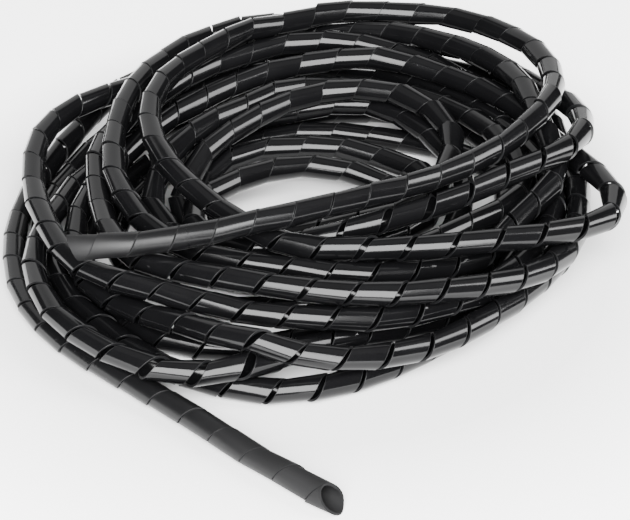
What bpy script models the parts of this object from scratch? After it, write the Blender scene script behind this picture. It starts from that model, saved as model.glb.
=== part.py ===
"""Spiral cable wrap: a slit plastic tube, lying as one loose coil with two free ends.

The strand is one moulded piece. Its route was read by eye from the photograph: each point is a
pixel and a height, and a short settling pass lets the turns lie on the floor and on each other.
"""
import math

import bpy
import numpy as np

# Driving sizes, in metres
OUTSIDE = 0.012
CLEARANCE = 0.00045
VIEW_DISTANCE = 1.19
SIDES = 8
TUBE_STEP = 1.25 * OUTSIDE

# How the photograph was taken: focal length and middle in pixels, downward tilt of the view
FOCUS_PX = 2361.0
CENTRE_U = 315.0
CENTRE_V = 260.0
VIEW_TILT = math.radians(35.0)

# Heights in the route are in twelfths of a strand's diameter
LEVELS_PER_STRAND = 12.0

# Settling pass
RADIUS = OUTSIDE / 2
SAMPLE_STEP = OUTSIDE / 2
FINE_STEP = OUTSIDE / 12
CONTACT = math.hypot(OUTSIDE + CLEARANCE, 0.35 * SAMPLE_STEP)
ROUNDS = 200
PAIR_ROUNDS = 8
BLOCK = 400
LOOSE_HOLD = 0.1
SEEN_HOLD = 0.25
SINK = OUTSIDE / 160
HEIGHT_HOLD = 0.02
LATE_HOLD = 0.3
EASE = 0.25
EARLY_SHARE = 0.8
WATCH_SHARE = 1.35
SKIP_SHARE = 2.2
PUSH_SHARE = 0.4
EARLY_REACHES = (5, 4, 3, 2, 1, 1)
LATE_REACHES = (2, 1)
PARTINGS = 6

# Black polyethylene
COLOUR = (0.02, 0.02, 0.022, 1.0)
ROUGHNESS = 0.35

AHEAD = np.array([0.0, math.cos(VIEW_TILT), -math.sin(VIEW_TILT)])
RIGHT = np.array([1.0, 0.0, 0.0])
UP = np.array([0.0, math.sin(VIEW_TILT), math.cos(VIEW_TILT)])
EYE = np.array([0.0, 0.0, RADIUS]) - VIEW_DISTANCE * AHEAD

SEEN = 1.0
HIDDEN = 0.0

# The route from the upper free end to the free end in front, as (pixel u, pixel v, height)
ROUTE = [
    (SEEN, [(72, 248, 50), (100, 246, 50), (130, 244, 51), (160, 241, 52), (190, 236, 52),
         (220, 230, 52), (250, 223, 52), (280, 217, 51), (310, 210, 50), (340, 203, 50), (370, 196, 50),
         (400, 188, 50), (430, 179, 50), (460, 167, 50), (485, 155, 50), (505, 143, 50), (522, 130, 49),
         (537, 116, 48), (548, 101, 46), (553, 86, 44), (550, 70, 42), (540, 55, 41), (522, 42, 40),
         (500, 31, 38), (470, 22, 37), (440, 16, 36), (405, 13, 36), (370, 13, 36), (335, 16, 37),
         (300, 21, 38), (268, 28, 40), (235, 38, 42), (211, 49, 44), (188, 61, 46), (171, 74, 47),
         (158, 90, 48), (151, 107, 48), (150, 124, 48), (156, 142, 47), (167, 160, 46), (181, 178, 44),
         (200, 195, 42), (222, 210, 39)]),
    (HIDDEN, [(245, 224, 38)]),
    (SEEN, [(265, 236, 38), (290, 245, 38), (320, 249, 38), (350, 249, 38), (380, 249, 38),
         (410, 248, 38), (440, 246, 38), (470, 243, 38), (500, 240, 38), (530, 236, 38), (560, 232, 38),
         (588, 226, 37), (604, 219, 36), (613, 209, 34), (613, 196, 33), (605, 183, 32), (592, 171, 31),
         (577, 159, 29), (556, 146, 27)]),
    (HIDDEN, [(532, 125, 26)]),
    (SEEN, [(510, 105, 26), (480, 89, 27), (440, 74, 28), (400, 62, 28), (360, 58, 28), (320, 62, 30),
         (277, 71, 32), (235, 85, 34), (200, 101, 36), (180, 112, 35)]),
    (HIDDEN, [(152, 131, 28), (128, 148, 22), (108, 165, 18), (94, 182, 17), (86, 200, 17),
         (81, 218, 17), (77, 238, 17)]),
    (SEEN, [(77, 256, 18), (84, 274, 18), (100, 291, 18), (126, 307, 18), (156, 314, 19),
         (195, 326, 21), (232, 340, 25), (260, 347, 27), (290, 353, 26), (322, 357, 23), (370, 357, 19),
         (415, 350, 18), (458, 334, 18), (475, 326, 17), (492, 315, 17), (508, 303, 16), (522, 291, 16),
         (534, 282, 16), (546, 273, 16)]),
    (HIDDEN, [(560, 256, 17), (571, 234, 17), (576, 210, 17), (573, 186, 17), (560, 162, 17),
         (538, 138, 17), (512, 114, 18), (482, 92, 20), (450, 72, 24), (415, 56, 29)]),
    (SEEN, [(380, 48, 32), (340, 42, 33), (300, 43, 34), (255, 50, 35), (217, 63, 35), (200, 72, 34)]),
    (HIDDEN, [(170, 86, 31), (143, 102, 28), (120, 124, 26)]),
    (SEEN, [(102, 150, 26), (98, 165, 26), (98, 182, 27), (101, 202, 28), (107, 224, 30)]),
    (HIDDEN, [(117, 241, 34)]),
    (SEEN, [(130, 252, 36), (155, 265, 38), (190, 272, 38), (220, 277, 38), (250, 281, 38),
         (300, 289, 38), (350, 294, 38), (400, 293, 38), (440, 291, 38), (480, 287, 38), (510, 280, 36),
         (538, 271, 34), (556, 260, 32), (566, 249, 30), (573, 238, 29)]),
    (HIDDEN, [(578, 222, 28)]),
    (SEEN, [(579, 205, 28), (576, 185, 27), (569, 167, 26)]),
    (HIDDEN, [(558, 146, 24), (542, 123, 21), (521, 101, 17), (494, 83, 13), (455, 70, 9), (412, 63, 7),
         (370, 59, 7), (330, 57, 8), (290, 58, 10), (250, 62, 13), (210, 70, 18), (170, 79, 24)]),
    (SEEN, [(125, 89, 30), (100, 98, 31), (78, 106, 31), (58, 118, 31), (44, 133, 31), (37, 148, 30),
         (34, 162, 30), (34, 176, 29), (35, 191, 28), (39, 206, 28), (46, 221, 28), (55, 238, 28),
         (66, 254, 28), (80, 265, 28), (95, 272, 28), (125, 284, 28), (165, 295, 28), (205, 302, 28),
         (250, 313, 28), (300, 317, 28), (350, 319, 28), (390, 318, 28), (425, 310, 28)]),
    (HIDDEN, [(470, 299, 27), (502, 283, 24), (526, 262, 20), (543, 240, 18), (553, 215, 17),
         (554, 190, 17), (547, 165, 16), (530, 142, 16), (505, 121, 17), (474, 102, 18), (438, 86, 18),
         (400, 74, 18), (360, 68, 18), (320, 66, 18), (280, 69, 18), (240, 76, 18), (200, 88, 17),
         (160, 104, 14), (124, 125, 10)]),
    (SEEN, [(100, 144, 7), (83, 160, 6), (67, 176, 6)]),
    (HIDDEN, [(52, 200, 6), (43, 222, 6), (42, 245, 6)]),
    (SEEN, [(52, 267, 6), (70, 295, 6), (97, 320, 6), (131, 347, 6), (165, 367, 6), (195, 378, 6),
         (225, 384, 6), (260, 388, 6), (300, 389, 6), (340, 384, 6), (370, 374, 6), (400, 362, 6),
         (430, 348, 6)]),
    (HIDDEN, [(460, 331, 6), (490, 311, 6), (517, 288, 6), (537, 264, 6), (549, 238, 6), (554, 210, 6),
         (551, 184, 6), (541, 160, 6), (524, 140, 6), (500, 121, 6), (470, 106, 6), (435, 95, 6),
         (390, 88, 6), (345, 86, 6), (300, 89, 6), (255, 97, 6), (212, 109, 6), (170, 126, 7),
         (130, 146, 9)]),
    (SEEN, [(92, 172, 12), (74, 188, 13), (60, 206, 13)]),
    (HIDDEN, [(46, 226, 14), (36, 246, 15), (33, 264, 15), (37, 282, 15), (47, 301, 15)]),
    (SEEN, [(60, 318, 15), (80, 333, 15), (100, 346, 15), (125, 359, 14), (154, 368, 14),
         (175, 372, 16), (198, 374, 17), (222, 373, 17), (246, 368, 15), (270, 361, 12),
         (295, 352, 9)]),
    (HIDDEN, [(320, 343, 7)]),
    (SEEN, [(345, 337, 8), (370, 334, 8), (400, 329, 8), (430, 321, 8), (457, 312, 8), (482, 300, 8)]),
    (HIDDEN, [(504, 281, 6), (519, 258, 6), (528, 232, 6), (530, 206, 6), (524, 180, 6), (510, 158, 6),
         (487, 139, 6), (455, 124, 6), (420, 115, 6), (375, 111, 6), (330, 113, 6), (285, 119, 6),
         (240, 130, 6), (195, 146, 6), (155, 164, 6), (120, 184, 6), (96, 206, 6), (85, 230, 6),
         (83, 254, 6), (88, 278, 6), (101, 302, 6), (126, 323, 6), (156, 339, 6), (195, 351, 6),
         (232, 355, 6), (273, 346, 6), (310, 335, 6), (345, 325, 6), (370, 321, 6), (400, 315, 6),
         (430, 306, 6), (457, 294, 6), (478, 278, 6), (493, 257, 6), (503, 232, 6), (506, 206, 6),
         (500, 181, 6), (486, 161, 6), (458, 153, 6), (425, 146, 6), (388, 140, 6), (340, 134, 6),
         (295, 131, 6), (250, 139, 6), (210, 152, 6), (172, 171, 6), (141, 193, 6), (121, 216, 6),
         (114, 240, 6), (122, 264, 6), (150, 287, 6), (190, 302, 6), (235, 310, 6), (280, 311, 6),
         (330, 301, 6), (385, 289, 7), (420, 268, 7), (440, 248, 8), (452, 227, 9), (463, 204, 10),
         (464, 183, 12), (455, 158, 15), (430, 132, 18), (400, 114, 18), (370, 103, 16), (330, 100, 15),
         (285, 107, 15), (240, 121, 15), (200, 139, 14), (170, 160, 12), (156, 185, 10), (150, 210, 8),
         (154, 234, 7), (170, 256, 7), (202, 273, 8), (240, 282, 10), (285, 284, 12), (330, 280, 15),
         (380, 268, 18), (420, 252, 20)]),
    (SEEN, [(450, 232, 20), (475, 222, 20), (500, 210, 20)]),
    (HIDDEN, [(519, 195, 19), (527, 175, 18), (521, 155, 17), (504, 138, 16), (478, 121, 15),
         (450, 107, 14), (420, 97, 13), (385, 90, 13), (345, 88, 13), (305, 93, 14), (272, 101, 17)]),
    (SEEN, [(240, 112, 21), (215, 122, 22), (195, 132, 22), (180, 145, 22), (172, 155, 22),
         (158, 180, 21)]),
    (HIDDEN, [(152, 205, 20), (162, 228, 20), (190, 246, 20), (225, 250, 22)]),
    (SEEN, [(260, 243, 26), (300, 235, 28), (350, 224, 28), (400, 212, 26), (430, 190, 24),
         (445, 168, 22), (451, 148, 20), (448, 130, 18), (433, 115, 17), (415, 103, 17), (390, 93, 18),
         (355, 90, 18), (315, 95, 18), (275, 108, 18), (245, 122, 18), (220, 138, 17), (205, 155, 16),
         (194, 180, 14)]),
    (HIDDEN, [(181, 205, 10), (188, 230, 9), (225, 246, 8), (300, 252, 8), (350, 248, 8), (395, 235, 8),
         (425, 215, 8), (438, 195, 8)]),
    (SEEN, [(430, 177, 9), (409, 170, 10), (389, 161, 10), (365, 153, 10), (335, 148, 10),
         (300, 148, 10), (265, 151, 10), (230, 160, 9)]),
    (HIDDEN, [(205, 178, 8), (195, 200, 6), (205, 225, 6), (235, 246, 6), (280, 256, 6), (330, 252, 6),
         (375, 236, 6), (400, 215, 6), (400, 196, 6)]),
    (SEEN, [(376, 181, 6), (340, 171, 6), (300, 166, 6)]),
    (HIDDEN, [(262, 173, 6), (228, 184, 7), (204, 198, 9), (194, 215, 13), (198, 233, 17),
         (216, 246, 22)]),
    (HIDDEN, [(250, 250, 27), (285, 247, 31)]),
    (SEEN, [(320, 238, 36), (350, 230, 38), (375, 223, 39), (400, 215, 40), (425, 210, 40),
         (445, 203, 40), (470, 192, 40), (490, 182, 40), (510, 174, 40), (530, 165, 42), (550, 157, 43),
         (565, 149, 42), (576, 140, 40), (583, 129, 38), (581, 118, 36), (573, 108, 34),
         (560, 98, 32)]),
    (HIDDEN, [(546, 93, 28), (530, 86, 25), (513, 73, 23), (493, 61, 22), (463, 50, 22), (430, 41, 22),
         (395, 35, 22), (355, 30, 24), (320, 26, 27), (290, 25, 29)]),
    (SEEN, [(265, 27, 31), (240, 30, 32), (215, 35, 33), (188, 46, 34), (162, 61, 36), (149, 73, 37),
         (133, 91, 38), (122, 111, 38), (115, 135, 38), (113, 155, 38), (118, 180, 38), (130, 205, 38),
         (150, 226, 38)]),
    (HIDDEN, [(175, 244, 37)]),
    (SEEN, [(210, 256, 36), (255, 264, 34), (300, 270, 32), (340, 271, 30), (400, 274, 28),
         (440, 268, 27), (480, 258, 26), (500, 240, 27), (515, 220, 28), (530, 208, 29), (545, 192, 30),
         (554, 178, 31), (557, 160, 32)]),
    (HIDDEN, [(553, 138, 33), (543, 118, 34)]),
    (SEEN, [(530, 100, 34), (520, 84, 34), (505, 69, 34), (485, 56, 33), (460, 48, 34), (430, 40, 34),
         (400, 35, 34), (365, 31, 34), (330, 29, 33)]),
    (HIDDEN, [(290, 36, 30), (255, 48, 26), (220, 57, 23)]),
    (SEEN, [(180, 67, 21), (140, 79, 20), (120, 90, 19), (97, 109, 18), (77, 131, 17), (63, 149, 16),
         (51, 167, 14)]),
    (HIDDEN, [(38, 185, 11)]),
    (SEEN, [(27, 203, 8), (20, 217, 7), (16, 234, 6), (15, 252, 6), (16, 268, 6), (20, 284, 6),
         (26, 298, 6), (41, 320, 6), (67, 343, 6), (84, 355, 6), (102, 364, 6), (126, 378, 6),
         (150, 391, 6), (174, 406, 6), (198, 420, 6), (222, 436, 6), (246, 451, 6), (270, 465, 6),
         (294, 478, 6), (318, 492, 6), (333, 500, 6)]),
]


def sight_point(u, v, level):
    """Point at a height on the sight line of a photograph pixel."""
    line = AHEAD + RIGHT * (u - CENTRE_U) / FOCUS_PX - UP * (v - CENTRE_V) / FOCUS_PX
    height = level * OUTSIDE / LEVELS_PER_STRAND
    return EYE + line * (height - EYE[2]) / line[2]


def even_samples(curve, step, extra):
    """Samples a step apart along a fine curve, with a value carried along it."""
    gaps = np.linalg.norm(np.diff(curve, axis=0), axis=1)
    length = np.concatenate([[0.0], np.cumsum(gaps)])
    count = int(round(length[-1] / step)) + 1
    places = np.linspace(0.0, length[-1], count)
    columns = [np.interp(places, length, curve[:, axis]) for axis in range(3)]
    return np.stack(columns, axis=1), np.interp(places, length, extra)


def traced_curve(step, marks):
    """Smooth curve through the route's points, with the mark of each stretch carried along it."""
    rows = [(sight_point(*spot), mark) for mark, (_, stretch) in zip(marks, ROUTE) for spot in stretch]
    knots = np.array([row[0] for row in rows])
    carried = np.array([row[1] for row in rows])
    reach = np.concatenate([[0.0], np.cumsum(np.linalg.norm(np.diff(knots, axis=0), axis=1))])
    slopes = np.gradient(knots, reach, axis=0)
    fine = np.linspace(0.0, reach[-1], int(reach[-1] / FINE_STEP))
    left = np.clip(np.searchsorted(reach, fine, side="right") - 1, 0, len(reach) - 2)
    width = (reach[left + 1] - reach[left])[:, None]
    t = (fine - reach[left])[:, None] / width
    curve = (2 * t**3 - 3 * t**2 + 1) * knots[left] + (3 * t**2 - 2 * t**3) * knots[left + 1]
    curve += ((t**3 - 2 * t**2 + t) * slopes[left] + (t**3 - t**2) * slopes[left + 1]) * width
    return even_samples(curve, step, np.interp(fine, reach, carried))


def near_pairs(points, reach):
    """Pairs of samples of different strands that are closer than a reach."""
    skip = int(np.ceil(SKIP_SHARE * reach / SAMPLE_STEP))
    found = []
    for start in range(0, len(points), BLOCK):
        away = points[start:start + BLOCK, None, :] - points[None, :, :]
        first, second = np.nonzero((away ** 2).sum(axis=2) < reach ** 2)
        first = first + start
        apart = second - first > skip
        found.append(np.stack([first[apart], second[apart]], axis=1))
    return np.concatenate(found)


def smooth_bends(points, reach):
    """Even out bends over a number of samples without shrinking the turns."""
    lean = np.zeros_like(points)
    lean[reach:-reach] = 0.5 * (points[:-2 * reach] + points[2 * reach:]) - points[reach:-reach]
    change = np.zeros_like(points)
    change[reach:-reach] = 0.5 * (lean[:-2 * reach] + lean[2 * reach:]) - lean[reach:-reach]
    return points - EASE * change


def space_evenly(points):
    """Slide the samples along the strand to an even spacing."""
    steps = np.diff(points, axis=0)
    lengths = np.linalg.norm(steps, axis=1)
    slide = (EASE * (lengths - lengths.mean()) / lengths)[:, None] * steps
    points[:-1] += slide
    points[1:] -= slide
    return points


def part_strands(points, pairs):
    """Push touching strands apart and keep them on the floor."""
    away = points[pairs[:, 1]] - points[pairs[:, 0]]
    gap = np.linalg.norm(away, axis=1)
    close = gap < CONTACT
    push = (PUSH_SHARE * (CONTACT / gap[close] - 1.0))[:, None] * away[close]
    move = np.zeros_like(points)
    touches = np.zeros(len(points))
    for side, sign in ((1, 1.0), (0, -1.0)):
        np.add.at(move, pairs[close, side], sign * push)
        np.add.at(touches, pairs[close, side], 1.0)
    points = points + move / np.maximum(touches / 2.0, 1.0)[:, None]
    points[:, 2] = np.maximum(points[:, 2], RADIUS)
    return points


def settled_route():
    """The traced strand after its turns have settled on each other, with no two overlapping."""
    points, seen = traced_curve(SAMPLE_STEP, [hold for hold, _ in ROUTE])
    sight = points - EYE
    sight /= np.linalg.norm(sight, axis=1)[:, None]
    heights = points[:, 2].copy()
    hold = (LOOSE_HOLD + SEEN_HOLD * seen)[:, None]
    for turn in range(ROUNDS):
        if turn % PAIR_ROUNDS == 0:
            pairs = near_pairs(points, WATCH_SHARE * CONTACT)
        early = turn < EARLY_SHARE * ROUNDS
        local = points - EYE
        aside = local - sight * (local * sight).sum(axis=1)[:, None]
        points = points - hold * aside * (1.0 if early else LATE_HOLD)
        if early:
            points[:, 2] += HEIGHT_HOLD * (heights - points[:, 2]) - SINK
        for reach in EARLY_REACHES if early else LATE_REACHES:
            points = smooth_bends(points, reach)
        points = space_evenly(points)
        for _ in range(PARTINGS):
            points = part_strands(points, pairs)
    return points


def middle(points):
    """Middle of the route's outline on the floor."""
    centre = 0.5 * (points.min(axis=0) + points.max(axis=0))
    return np.array([centre[0], centre[1], 0.0])


def clear_scene():
    """Remove whatever the scene holds."""
    for item in list(bpy.data.objects):
        bpy.data.objects.remove(item, do_unlink=True)


def black_plastic():
    """Semi-gloss black polyethylene."""
    material = bpy.data.materials.new("black_plastic")
    material.use_nodes = True
    shader = material.node_tree.nodes["Principled BSDF"]
    shader.inputs["Base Color"].default_value = COLOUR
    shader.inputs["Roughness"].default_value = ROUGHNESS
    shader.inputs["Metallic"].default_value = 0.0
    return material


def strand_tube(name, route):
    """Closed tube along the route, with a flat side down on the floor."""
    apothem = RADIUS * math.cos(math.pi / SIDES)
    points, _ = even_samples(route, TUBE_STEP, np.zeros(len(route)))
    points[:, 2] -= RADIUS - apothem
    curve = bpy.data.curves.new(name, "CURVE")
    curve.dimensions = "3D"
    curve.twist_mode = "Z_UP"
    curve.bevel_depth = RADIUS
    curve.bevel_resolution = SIDES // 2 - 2
    curve.use_fill_caps = True
    spline = curve.splines.new("POLY")
    spline.points.add(len(points) - 1)
    for spot, place in zip(spline.points, points):
        spot.co = (*place, 1.0)
        spot.tilt = math.pi / SIDES
    strand = bpy.data.objects.new(name, curve)
    bpy.context.collection.objects.link(strand)
    return strand


def main():
    """Build the wrap."""
    clear_scene()
    route = settled_route()
    strand = strand_tube("spiral_wrap", route - middle(route))
    strand.data.materials.append(black_plastic())


main()
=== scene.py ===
# %% [markdown]
# # Spiral cable wrap
# Spiral wrap is a plastic tube with one long helical slit. Here nearly ten metres of it lie in a
# loose coil. The whole strand is one piece, so the lesson has one main idea: settle the strand's
# middle line first, then let Geometry Nodes wind a strip of plastic round that line.

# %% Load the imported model
import math

import bpy
import numpy as np
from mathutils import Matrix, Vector


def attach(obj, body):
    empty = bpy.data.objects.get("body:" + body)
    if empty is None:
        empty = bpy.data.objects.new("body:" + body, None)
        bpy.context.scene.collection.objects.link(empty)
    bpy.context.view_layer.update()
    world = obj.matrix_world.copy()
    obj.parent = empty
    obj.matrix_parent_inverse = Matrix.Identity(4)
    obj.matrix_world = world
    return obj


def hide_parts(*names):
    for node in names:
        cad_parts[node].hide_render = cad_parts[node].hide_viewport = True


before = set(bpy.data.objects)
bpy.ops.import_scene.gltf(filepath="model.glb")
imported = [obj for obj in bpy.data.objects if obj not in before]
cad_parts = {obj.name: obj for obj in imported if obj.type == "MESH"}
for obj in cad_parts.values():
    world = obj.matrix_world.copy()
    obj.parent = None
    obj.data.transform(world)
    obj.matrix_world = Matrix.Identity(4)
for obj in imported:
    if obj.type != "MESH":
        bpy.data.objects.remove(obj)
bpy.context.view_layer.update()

# %% [markdown]
# ## Sizes
# A learner can change the look of the wrap here. The outer diameter, wall and strip width are what
# a maker would print on the bag. The slit is the gap between two turns of the strip. It is almost
# shut, except where the wrap was pulled. The clearance is the air between two strands that touch.

# %% Sizes of the wrap, in metres
MM = 0.001
OUTSIDE = 12.0 * MM
CLEARANCE = 0.45 * MM
RADIUS = OUTSIDE / 2
WALL = 1.2 * MM
STRIP_WIDTH = 19.6 * MM
EDGE_ROUND = 0.08 * MM
print("strip:", round(STRIP_WIDTH / MM, 1), "mm wide and", round(WALL / MM, 1), "mm thick")

# %% [markdown]
# ## The view
# The photograph was taken with a long lens from 35 degrees above the floor. Its focal length in
# pixels and the distance are worked out from how thick the strand looks in front and at the back.
# Every point of the route is a pixel and a height, so the same numbers place the camera. Heights
# are in twelfths of the strand's diameter, counted to the middle of the strand.

# %% How the photograph was taken
FRAME_WIDTH = 630
SENSOR = 36.0
VIEW_DISTANCE = 1.19
FOCUS_PX = 2361.0
CENTRE_U = 315.0
CENTRE_V = 260.0
VIEW_TILT = math.radians(35.0)
LEVELS_PER_STRAND = 12.0

AHEAD = np.array([0.0, math.cos(VIEW_TILT), -math.sin(VIEW_TILT)])
RIGHT = np.array([1.0, 0.0, 0.0])
UP = np.array([0.0, math.sin(VIEW_TILT), math.cos(VIEW_TILT)])
EYE = np.array([0.0, 0.0, RADIUS]) - VIEW_DISTANCE * AHEAD
print("a pixel at the coil is", round(VIEW_DISTANCE / FOCUS_PX / MM, 3), "mm wide")

SEEN = 1.0
HIDDEN = 0.0
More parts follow.
